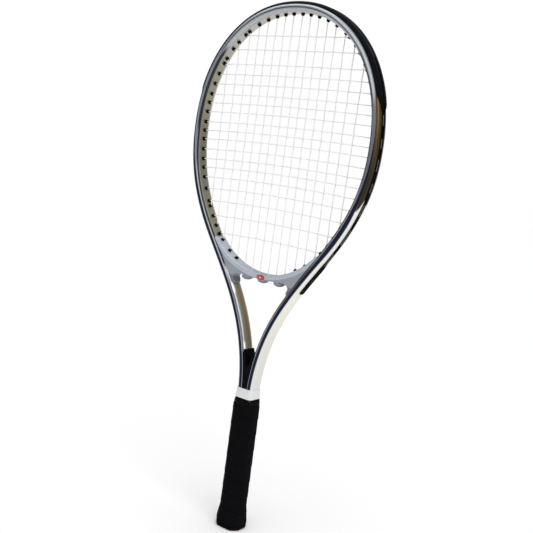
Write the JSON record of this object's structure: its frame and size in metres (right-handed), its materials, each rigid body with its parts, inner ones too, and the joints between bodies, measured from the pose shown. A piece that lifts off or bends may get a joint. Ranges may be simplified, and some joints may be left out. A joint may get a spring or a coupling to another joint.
{
  "type": "tennis racket",
  "caption": "Strung adult tennis racket with an open throat, a bumper guard over the head, grommet strips, a moulded throat bridge and a wrapped octagonal handle.",
  "frame": {"origin": "centre of the flat end of the butt cap, at the bottom of the handle", "axes": "+Z along the racket from the butt to the top of the head, +X across the string bed, +Y out of its back, so the front faces -Y"},
  "size_m": [0.2882, 0.0348, 0.685],
  "materials": {
    "silver_frame": "satin silver paint on an aluminium tube, with cream, bronze and navy trim",
    "black_nylon": "matte black nylon",
    "strings": "smooth white nylon string",
    "grey_moulding": "satin blue-grey moulding",
    "red_badge": "glossy red",
    "black_moulding": "glossy black",
    "pallet_foam": "rigid foam plastic, hidden under the wrap",
    "steel": "bright steel",
    "black_wrap": "matte black wrap, perforated and wound in a spiral",
    "black_tape": "black tape",
    "white_rubber": "off-white rubber"
  },
  "bodies": {
    "root": {"frame_tube": "silver_frame", "bumper_guard": "black_nylon", "left_grommet_strip": "black_nylon", "right_grommet_strip": "black_nylon", "main_strings": "strings", "cross_strings": "strings", "throat_bridge": "grey_moulding", "bridge_badge": "red_badge", "throat_insert": "black_moulding", "handle_pallet_front": "pallet_foam", "handle_pallet_back": "pallet_foam", "pallet_pin_left_lower": "steel", "pallet_pin_left_upper": "steel", "pallet_pin_right_lower": "steel", "pallet_pin_right_upper": "steel", "butt_cap": "black_moulding", "butt_plug": "black_moulding", "cap_nail_front_left": "steel", "cap_nail_front_right": "steel", "cap_nail_back_left": "steel", "cap_nail_back_right": "steel", "grip_wrap": "black_wrap", "finishing_tape": "black_tape", "grip_collar": "white_rubber"}
  },
  "joints": []
}
